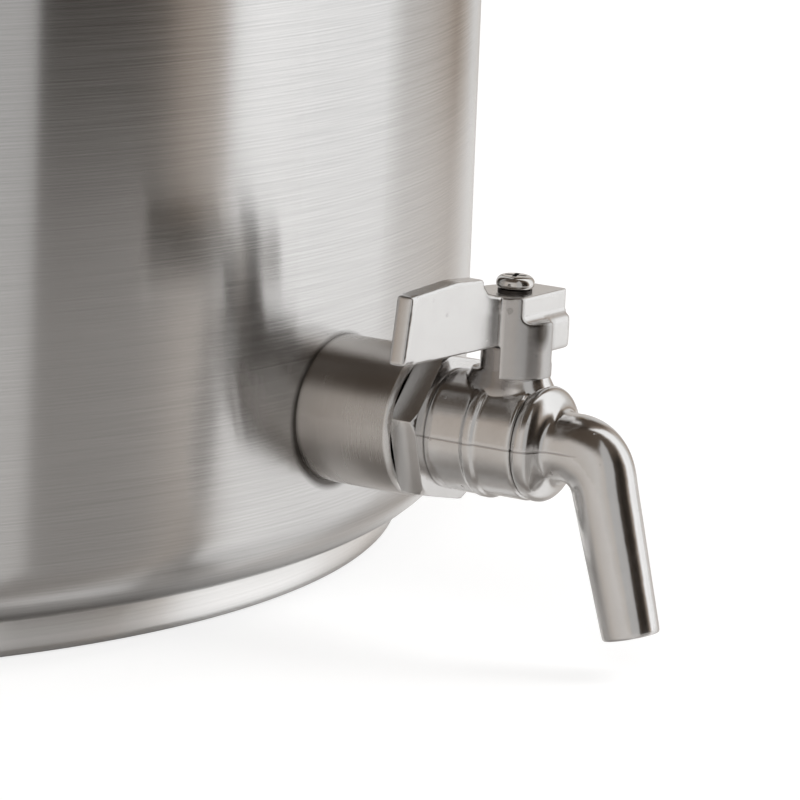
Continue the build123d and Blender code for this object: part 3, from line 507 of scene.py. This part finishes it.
def cast_finish(name):
    """Tumbled casting: softly uneven, with a few pits."""
    finish = Finish(name, Metallic=1.0)
    swell = finish.noise(finish.stretched(170, 170, 170), 3, 0.5)
    skin = finish.noise(finish.stretched(900, 900, 900), 3, 0.6)
    pits = finish.span(finish.noise(finish.stretched(420, 420, 420), 1, 0.4), 0.2, 0.235, 1, 0)
    colour = finish.blend(swell, (0.68, 0.672, 0.665, 1), (0.78, 0.775, 0.77, 1))
    return finish, swell, skin, pits, colour


cast_tap, tap_swell, tap_skin, tap_pits, tap_colour = cast_finish("cast_tap")
over_bore = cast_tap.height_over(tap_frame.translation, stem_up)
reach_out = cast_tap.height_over(tap_frame.translation, -into_pot)
seam = cast_tap.span(abs(over_bore), 0.0001, 0.0003, 1, 0) * cast_tap.span(
    reach_out, 0.019, 0.023, 1, 0
)

# All of the neck but its front is painted dark: painted shade where the lever's blade shades it.
painted_neck_shade = cast_tap.span(over_bore, 0.0095, 0.0125) * cast_tap.span(
    reach_out, 0.003, 0.0055, 1, 0
)
cast_tap.feed("Base Color", cast_tap.blend(
    seam * 0.5 + tap_pits * 0.35 + painted_neck_shade * 0.7, tap_colour, (0.16, 0.14, 0.13, 1)
))
cast_tap.feed("Roughness", tap_swell * 0.1 + tap_skin * 0.06 + tap_pits * 0.2 + 0.08)
cast_tap.bumped(tap_swell * 0.8 + tap_skin * 0.05 - seam * 0.25 - tap_pits * 0.3, 0.0001)


def cast(shape, voxel, rounds, soft, place=tap_frame):
    """One skin round a shape's forms, in the tap's frame, softened for some rounds and for more
    where a test of the place in millimetres says so."""
    rough = placed("cast", meshed("cast", shape, place.inverted()))
    fuse = rough.modifiers.new("fuse", "REMESH")
    fuse.mode, fuse.voxel_size = "VOXEL", voxel * mm
    skin = bmesh.new()
    skin.from_object(rough, bpy.context.evaluated_depsgraph_get())
    bpy.data.objects.remove(rough)
    for inside, times in [(lambda at: True, rounds)] + soft:
        near = [vert for vert in skin.verts if inside(vert.co / mm)]
        for _ in range(times):
            bmesh.ops.smooth_vert(
                skin, verts=near, factor=0.5, use_axis_x=True, use_axis_y=True, use_axis_z=True
            )
    return skin


def grouped(*shapes):
    """One shape of several closed forms, each moved to its place."""
    whole = bmesh.new()
    for shape, place in shapes:
        mesh = meshed("form", shape, place)
        whole.from_mesh(mesh)
        bpy.data.meshes.remove(mesh)
    return whole


body_radius, band_radius, front_radius, body_back, body_front = 13.8, 14.15, 13.3, -13.6, 8.4
neck_radius, neck_top, neck_root = 6.9, 21.4, 15.6
valve_bore, stem_bore = 9.6, 5.3
barrel = turned(rounded(
    (0, body_back), (body_radius, body_back, 0.6), (body_radius, -3.9), (band_radius, -3.4),
    (band_radius, -1.6), (front_radius, -0.8), (front_radius, body_front, 0.8), (0, body_front)
), steps=96)
neck = turned([(0, 0), (neck_radius, 0), (neck_radius, neck_top), (0, neck_top)], steps=96)
flare = turned([
    (0, 8), (8.3, 8), (8.1, 12.2), (7.5, 13.6), (7.1, 14.6), (neck_radius, neck_root),
    (0, neck_root)
], steps=96)
wider_along_tap = Matrix.Diagonal((1, 1.35, 1, 1))
body = cast(
    grouped((barrel, along_tap), (neck, Matrix()), (flare, wider_along_tap)), 0.26, 3, soft=[
        (lambda at: math.hypot(at.x, at.y) < 12.5 and 8 < at.z < 17, 3),
        (lambda at: math.hypot(at.x, at.y) < 10.8 and 8.5 < at.z < 16.5, 6),
        (lambda at: math.hypot(at.x, at.y) < 9.5 and 9 < at.z < 16, 12),
    ], place=Matrix(),
)
body = cut(body, rod(valve_bore, (0, -20, 0), (0, 20, 0)))
body = cut(body, rod(stem_bore, (0, 0, 0), (0, 0, 30)))
shown("valve_casting", body, cast_tap, stands_for=["tap_body"], place=tap_frame,
      sharp=60)

# ---------------------------------------------------------------- spout
# Stainless casting, with a round collar that closes the front of the body. Its pipe is bent
# down, thins towards the mouth and is ground to a plain end.
bend_start, bend_radius, bend_angle = 16.3, 10.0, math.radians(74.4)
fuller_back, spout_bore, spout_root = 0.17, 5, 7.5


def along_spout(point):
    """Carries a point of the straight spout to its place on the bent one."""
    run = point.z / mm - bend_start
    turn = min(max(run / bend_radius, 0), bend_angle)
    out = bend_start + min(run, 0) + bend_radius * math.sin(turn)
    drop = bend_radius * (1 - math.cos(turn))
    past = max(run - bend_radius * bend_angle, 0)
    out += past * math.cos(turn)
    drop += past * math.sin(turn)
    fuller = 1 + fuller_back * math.sin(math.pi * turn / bend_angle) * (point.y > 0)
    lift = point.y / mm * fuller
    return Vector((
        point.x / mm, -out - lift * math.sin(turn), -drop + lift * math.cos(turn)
    )) * mm


collar = [
    (9.5, spout_root), (9.5, 8.42), (12.6, 8.42), (13.0, 8.9), (13.2, 9.8), (13.1, 10.9),
    (12.6, 11.8), (11.7, 12.5), (10.6, 13.0), (9.5, 13.4), (8.6, 14.1), (8.15, 15.1), (7.95, 16.3)
]
pipe_outside = [
    (7.85, 18), (7.75, 20), (7.65, 22), (7.55, 24), (7.5, 26), (7.45, 28), (7.4, 30), (7.25, 37),
    (7.0, 46), (6.75, 55), (6.6, 62.2)
]
spout_mouth = [(6.5, 63.0), (6.2, 63.35), (5.5, 63.35), (5.1, 63.1), (spout_bore, 62.4)]
bore_rings = (55, 46, 37, 30, 28, 26, 24, 22, 20, 18, 16, 13, spout_root)
pipe = turned(
    collar + pipe_outside + spout_mouth + [(spout_bore, along) for along in bore_rings], steps=64
)
for vert in pipe.verts:
    vert.co = along_spout(vert.co)
bmesh.ops.recalc_face_normals(pipe, faces=pipe.faces)
spout = shown("bent_spout", pipe, cast_tap, stands_for=["tap_spout"],
              place=tap_frame, sharp=180)
smoother = spout.modifiers.new("smoother", "SUBSURF")
smoother.levels = smoother.render_levels = 2

# ---------------------------------------------------------------- valve ball, seats and packing
# Bored and polished steel ball between two white PTFE rings. The stem that turns it runs
# through a PTFE packing, which its gland presses down.
dress(polished, "polished_steel", "valve_ball")
ptfe = Finish("white_ptfe", Roughness=0.45)
milky = ptfe.noise(ptfe.stretched(300, 300, 300))
ptfe.feed("Base Color", ptfe.blend(milky, (0.82, 0.82, 0.80, 1), (0.9, 0.9, 0.88, 1)))
dress(ptfe, "seal_ptfe", "inlet_seat", "outlet_seat", "stem_packing")
dress(turned_pipe, "pipe_steel", "stem_gland", "tap_stem")

# ---------------------------------------------------------------- lever
# One steel casting on the stem's flats, tumbled like the body: a thin blade to one side, a
# stepped lug to the other and a skirt that hangs in front of the neck.
cast_lever, lever_swell, lever_skin, lever_pits, lever_colour = cast_finish("cast_lever")
across = cast_lever.height_over(tap_frame.translation, tap_frame.col[0].to_3d())
front = cast_lever.height_over(tap_frame.translation, -into_pot)

# Three places are painted darker, as painted shade: the face of the skirt, a hollow at its root,
# and the upper edge of the blade's tip.
from_stem = (across * across + front * front) ** 0.5
skirt_shade = cast_lever.span(from_stem, 0.0086, 0.0092) * cast_lever.span(
    front, 0.0024, 0.0034
) * cast_lever.span(across, 0.0035, 0.0055, 1, 0)
# Painted shade in the hollow: darkest at its middle and fading within a few millimetres.
hollow_middle = tap_frame @ (Vector((-2.6, -9.2, 25.6)) * mm)
from_hollow = cast_lever.vectors("LENGTH", cast_lever.vectors(
    "MULTIPLY", cast_lever.step_from(hollow_middle), (1, 1, 0.6)
), out="Value")
hollow_shade = cast_lever.span(from_hollow, 0.0006, 0.003, 1, 0)
# The upper edge of the blade's tip is painted darker, as painted shade.
blade_edge = tap_frame @ (Vector((-47, 0, 37.7)) * mm)
over_blade = cast_lever.height_over(blade_edge, tap_frame.to_3x3() @ Vector((-0.053, 0, 1)))
blade_edge_shade = cast_lever.span(over_blade, 0, 0.0004) * cast_lever.span(
    across, -0.03, -0.027, 1, 0
)
cast_lever.feed("Base Color", cast_lever.blend(
    lever_pits * 0.2 + skirt_shade * 0.38 + hollow_shade * 0.8 + blade_edge_shade * 0.6, lever_colour,
    (0.16, 0.15, 0.14, 1)
))
cast_lever.feed("Roughness", lever_swell * 0.12 + lever_skin * 0.08 + 0.14)
cast_lever.bumped(lever_swell * 0.8 + lever_skin * 0.07 - lever_pits * 0.25, 0.00006)
lever = cast(merged_copy("tap_lever"), 0.28, 6, soft=[
    (lambda at: at.x < -44.5, 26), (lambda at: at.x < -46.8, 10),
    (lambda at: at.x > 1.5 and at.y < -4.5 and 18 < at.z < 28.4, 30),
    (lambda at: -17 < at.x < -8 and at.z > 30, 20),
])
shown("lever_casting", lever, cast_lever, body="tap_handle",
      stands_for=["tap_lever"], place=tap_frame, sharp=60)

# ---------------------------------------------------------------- lever screw
# Polished stainless pan head screw with a cross recess. It clamps the lever to the stem over a
# thin steel washer, coloured near black as painted shade for the dark gap under the head.
head_radius, head_foot, head_top = 4.35, 33.9, 37.0
recess = Matrix.Translation((0, 0, 36.5 * mm)) @ Matrix.Diagonal((4.8, 1.05, 2.0, 1))
head = turned(rounded(
    (0, head_foot), (3.1, head_foot), (head_radius, head_foot, 1.25),
    (head_radius, head_top, 1.75), (0, head_top), steps=8
), steps=96)
for turn in (20, 110):
    driver_slot = bmesh.new()
    bmesh.ops.create_cube(
        driver_slot, size=mm, matrix=Matrix.Rotation(math.radians(turn), 4, "Z") @ recess
    )
    head = cut(head, driver_slot)
shank = rod(2.0, (0, 0, 24.5), (0, 0, 34.2))
shown("pan_screw", grouped((head, Matrix()), (shank, Matrix())), polished,
      body="tap_handle", stands_for=["lever_screw"], place=tap_frame, sharp=50)
# The washer's near black colour is painted shade.
washer_shade = Finish("washer_shade_steel", Metallic=1.0)
washer_mottle = washer_shade.noise(washer_shade.stretched(600, 600, 600))
washer_shade.feed("Base Color", washer_shade.blend(washer_mottle, (0.04, 0.036, 0.033, 1), (0.1, 0.09, 0.085, 1)))
washer_shade.feed("Roughness", washer_mottle * 0.2 + 0.3)
dress(washer_shade, "spring_steel", "lever_washer")

# ---------------------------------------------------------------- steam sockets
# Stainless pipe sockets, turned from bar and welded to the jacket for steam, condensate and
# the gauge. The safety valve's elbow is welded on in the same way and has the same finish.
turned_socket = Finish("turned_socket", Metallic=1.0)
turning = turned_socket.noise(turned_socket.stretched(500, 500, 500), 3, 0.6)
tint = turned_socket.noise(turned_socket.stretched(60, 60, 60), 2, 0.5)
turned_socket.feed("Base Color", turned_socket.blend(
    tint, (0.55, 0.535, 0.515, 1), (0.68, 0.665, 0.645, 1)
))
turned_socket.feed("Roughness", turning * 0.1 + tint * 0.1 + 0.18)
turned_socket.bumped(turning, 0.000008)
dress(turned_socket, "pipe_steel", "steam_inlet_socket", "condensate_socket", "gauge_socket",
      "relief_elbow")

# ---------------------------------------------------------------- safety valve
# Brass body, bonnet and knob turned from bar. A steel spring round the spindle holds the
# valve shut; it is shown at one length and does not shorten when the spindle lifts.
brass = Finish("turned_brass", Metallic=1.0)
dull = brass.noise(brass.stretched(90, 90, 90), 4, 0.6)
lathe = brass.noise(brass.stretched(150, 150, 2600), 2, 0.5)
brass.feed("Base Color", brass.blend(dull, (0.58, 0.41, 0.19, 1), (0.78, 0.60, 0.31, 1)))
brass.feed("Roughness", dull * 0.16 + lathe * 0.08 + 0.14)
brass.bumped(lathe, 0.000008)
dress(brass, "valve_brass", "relief_spindle", "gauge_movement")
for node, name, width, part_of in (
    ("relief_body", "safety_body", 0.3, "kettle"),
    ("relief_bonnet", "safety_bonnet", 0.3, "kettle"),
    ("relief_knob", "safety_knob", 0.25, "relief_plug"),
    ("gauge_stem", "gauge_nut", 0.25, "kettle"),
):
    shown(name, eased(node, width), brass, body=part_of, stands_for=[node])
wire = Finish("spring_wire", Metallic=1.0)
drawn = wire.noise(wire.stretched(700, 700, 700))
wire.feed("Base Color", wire.blend(drawn, (0.45, 0.45, 0.45, 1), (0.6, 0.6, 0.6, 1)))
wire.feed("Roughness", drawn * 0.15 + 0.2)
coil = bmesh.new()
coil.from_mesh(nodes["relief_spring"].data)
spring = shown(
    "valve_spring", coil, wire, body=None, stands_for=["relief_spring"], sharp=60
)
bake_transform(spring)

# ---------------------------------------------------------------- pressure gauge
# Polished steel case with a screwed bezel over a glass, a white dial with printed marks and
# numbers, and a black pointer.
dress(polished, "polished_steel", "gauge_case", "gauge_bezel")
paint = Finish("dial_white", Roughness=0.5)
speckle = paint.noise(paint.stretched(900, 900, 900))
paint.feed("Base Color", paint.blend(speckle, (0.82, 0.82, 0.8, 1), (0.88, 0.88, 0.86, 1)))
dress(paint, "dial_paint", "gauge_dial")
ink = Finish("black_ink", Roughness=0.45)
wear = ink.noise(ink.stretched(1200, 1200, 1200))
ink.feed("Base Color", ink.blend(wear, (0.012, 0.012, 0.012, 1), (0.03, 0.03, 0.03, 1)))
dress(ink, "needle_paint", "gauge_needle")
window = Finish("gauge_window", Transmission_Weight=1.0, IOR=1.45)
dust = window.noise(window.stretched(400, 400, 400))
window.feed("Roughness", window.span(dust, 0.5, 0.8, 0.0, 0.06))
window.feed("Base Color", window.blend(dust, (0.97, 0.98, 0.98, 1), (1, 1, 1, 1)))
dress(window, "gauge_window", "gauge_glass")

pointer_turn = next(
    joint for joint in frame["joints"] if joint["name"] == "gauge_pointer_turn"
)
gauge_middle = Vector(pointer_turn["pos_m"])
gauge_out = Vector((gauge_middle.x, gauge_middle.y, 0)).normalized()
upright = Vector((0, 0, 1))
dial_face = max(vert.co @ gauge_out for vert in nodes["gauge_dial"].data.vertices)
face_middle = gauge_out * dial_face + Vector((0, 0, gauge_middle.z))
dial_place = Matrix.Translation(face_middle) @ Matrix(
    (upright.cross(gauge_out), upright, gauge_out)
).transposed().to_4x4()
dial_start, dial_sweep, dial_marks, dial_numbers = 225, 270, 40, 4
long_mark, short_mark = (24.2, 4.6, 0.7), (25, 2.4, 0.3)
figure_size, figure_reach, ink_rise = 6.4, 17.5, 0.05
scale = bmesh.new()
for mark in range(dial_marks + 1):
    mark_reach, length, width = short_mark if mark % 10 else long_mark
    bmesh.ops.create_cube(scale, size=1, matrix=(
        Matrix.Rotation(math.radians(dial_start - mark * dial_sweep / dial_marks), 4, "Z")
        @ Matrix.Translation((mark_reach * mm, 0, ink_rise * mm))
        @ Matrix.Diagonal((length * mm, width * mm, 0.1 * mm, 1))
    ))
shown("dial_scale", scale, ink, place=dial_place)
for number in range(dial_numbers + 1):
    writing = bpy.data.curves.new("number", "FONT")
    writing.body, writing.size, writing.extrude = str(number), figure_size * mm, ink_rise * mm
    writing.align_x, writing.align_y = "CENTER", "CENTER"
    letter = placed("number", writing)
    bpy.context.view_layer.update()
    figure = bmesh.new()
    figure.from_mesh(bpy.data.meshes.new_from_object(letter))
    bpy.data.objects.remove(letter)
    at = math.radians(dial_start - number * dial_sweep / dial_numbers)
    figure_place = Matrix.Translation((
        figure_reach * mm * math.cos(at), figure_reach * mm * math.sin(at), ink_rise * mm
    ))
    shown(f"dial_number_{number}", figure, ink, place=dial_place @ figure_place)

# ---------------------------------------------------------------- floor and light
# Pale table about 1.3 m across under the kettle, in a studio with one tall soft lamp on the
# right, a paler wall on the left and a dark gap between them.
floor_finish = bpy.data.materials.new("pale_floor")
table = Graph(floor_finish)
table.tree.nodes.clear()
from_middle = table.node("ShaderNodeTexCoord", {}, out="Object")
reach = table.vectors("LENGTH", from_middle, out="Value")
to_right = table.node("ShaderNodeSeparateXYZ", {}, from_middle, out="X")
# The table's colour is painted paler towards the right: painted light where the lamps should
# light it more.
lit_side = table.span(to_right, -0.06, 0.22)
tone = table.blend(lit_side, (0.92, 0.905, 0.89, 1), (1.0, 1.0, 1.0, 1))
matt = table.node("ShaderNodeBsdfDiffuse", {}, tone)
sheen = table.node("ShaderNodeBsdfGlossy", {}, (1, 1, 1, 1), 0.2)
satin = table.node("ShaderNodeMixShader", {}, 0.55, matt, sheen)

# What the metal mirrors of the table: a ring outside the foot glows, a painted pool of light that
# is brightest on the right, and past its edge the table lets the studio through. The camera sees
# a plain pale floor.
ring = table.span(reach, 0.186, 0.190) * table.span(reach, 0.202, 0.209, 1.0, 0.0)
gleam = table.span(to_right, -0.045, -0.015, 0.17, 0.27) * ring
shine = table.node("ShaderNodeEmission", {}, (1.0, 0.99, 0.98, 1), gleam)
table_top = table.node("ShaderNodeAddShader", {}, satin, shine)
clear = table.node("ShaderNodeBsdfTransparent", {}, (1, 1, 1, 1))
edge = table.span(reach, 0.6, 0.74)
mirrored = table.node("ShaderNodeMixShader", {}, edge, table_top, clear)
pale = table.node("ShaderNodeBsdfDiffuse", {}, (0.32, 0.32, 0.318, 1))
white = table.node("ShaderNodeEmission", {}, (1, 1, 1, 1), 0.79)
seen = table.node("ShaderNodeAddShader", {}, pale, white)
from_camera = table.node("ShaderNodeLightPath", {}, out="Is Camera Ray")
table.show("ShaderNodeOutputMaterial", table.node(
    "ShaderNodeMixShader", {}, from_camera, mirrored, seen
))
ground = bmesh.new()
bmesh.ops.create_circle(ground, cap_ends=True, segments=64, radius=14)
floor_mesh = meshed("floor", ground)
floor_mesh.materials.append(floor_finish)
floor = placed("floor", floor_mesh)
floor.location.z = -0.0003

# A tall pale card in front of the tap, which only the metal's reflections show.
card_finish = bpy.data.materials.new("studio_card")
card_light = Graph(card_finish)
card_light.tree.nodes.clear()
card_light.show("ShaderNodeOutputMaterial", card_light.node(
    "ShaderNodeEmission", {}, (1.0, 0.985, 0.97, 1), 0.52
))
card_edge, card_turn, card_size = (-0.088, -0.5, 0.0), 199, (0.4, 0.62)
card_shape = bmesh.new()
bmesh.ops.create_grid(card_shape, x_segments=1, y_segments=1, size=0.5, matrix=(
    Matrix.Translation(card_edge) @ Matrix.Rotation(math.radians(card_turn), 4, "Z")
    @ Matrix.Translation((0.2, 0, 0.3)) @ Matrix.Rotation(math.pi / 2, 4, "X")
    @ Matrix.Diagonal((*card_size, 1, 1))
))
card_mesh = meshed("card", card_shape)
card_mesh.materials.append(card_finish)
card = placed("card", card_mesh)
card.visible_camera = card.visible_diffuse = card.visible_shadow = False

studio = bpy.data.worlds.new("studio")
bpy.context.scene.world = studio
sky = Graph(studio)
sky.tree.nodes.clear()
way = sky.node("ShaderNodeTexCoord", {}, out="Generated")
along_x, along_y, upwards = (
    sky.node("ShaderNodeSeparateXYZ", {}, way, out=axis) for axis in ("X", "Y", "Z")
)
horizon = sky.maths("FRACT", sky.maths("ARCTAN2", along_y, along_x) * (0.5 / math.pi))


def sweep_of(levels):
    """Brightness round the horizon, from (azimuth in degrees, brightness) pairs."""
    ramp = sky.node("ShaderNodeValToRGB", {}, horizon)
    stops = ramp.socket.node.color_ramp.elements
    for azimuth, level in levels:
        inside = 0 < azimuth < 360
        stop = stops.new(azimuth / 360) if inside else stops[-1 if azimuth else 0]
        warm = 1 - 0.22 * min(1, max(0, 0.75 - level) * 2)
        stop.color = (level, level * warm, level * warm * warm, 1)
    return ramp


middle = sweep_of([
    (0, 0.46), (4, 0.32), (9, 0.5), (17, 0.72), (28, 0.62), (56, 0.52), (90, 0.46), (140, 0.42),
    (152, 0.55), (190, 0.66), (230, 0.54), (241, 0.3), (248, 0.07), (270, 0.02), (285, 0.035),
    (290, 0.08), (295, 0.32), (300.5, 0.44), (303.5, 1.1), (309, 1.2), (320, 1.1), (337, 1.06),
    (343, 0.68), (350, 0.62), (360, 0.46),
])
top = sweep_of([
    (0, 0.12), (20, 0.09), (60, 0.05), (130, 0.05), (150, 0.08), (230, 0.1), (290, 0.1),
    (304, 0.5), (308, 1.15), (342, 1.1), (348, 0.3), (360, 0.14),
])
to_zenith = sky.node(
    "ShaderNodeMapRange", {"interpolation_type": "SMOOTHSTEP"}, upwards, 0.46, 0.74, 0.0, 1.0
)
sky.show("ShaderNodeOutputWorld", sky.node(
    "ShaderNodeBackground", {}, sky.blend(to_zenith, middle, top), 1.0
))

lamp_aim = Vector((0, 0, 0.15))
for name, spot, size, power in (
    ("key", (1.6, -2.2, 2.4), 1.6, 52), ("fill", (-2.2, -1.6, 2.2), 2.4, 34),
    ("back", (0.6, 2.4, 2.6), 2.2, 34),
):
    lamp = bpy.data.lights.new(name, "AREA")
    lamp.shape, lamp.size, lamp.energy = "DISK", size, power
    holder = placed(name, lamp)
    holder.location = spot
    holder.rotation_euler = (lamp_aim - Vector(spot)).to_track_quat("-Z", "Y").to_euler()
    holder.visible_glossy = False

bpy.context.scene.view_settings.view_transform = "Standard"
bpy.context.view_layer.update()
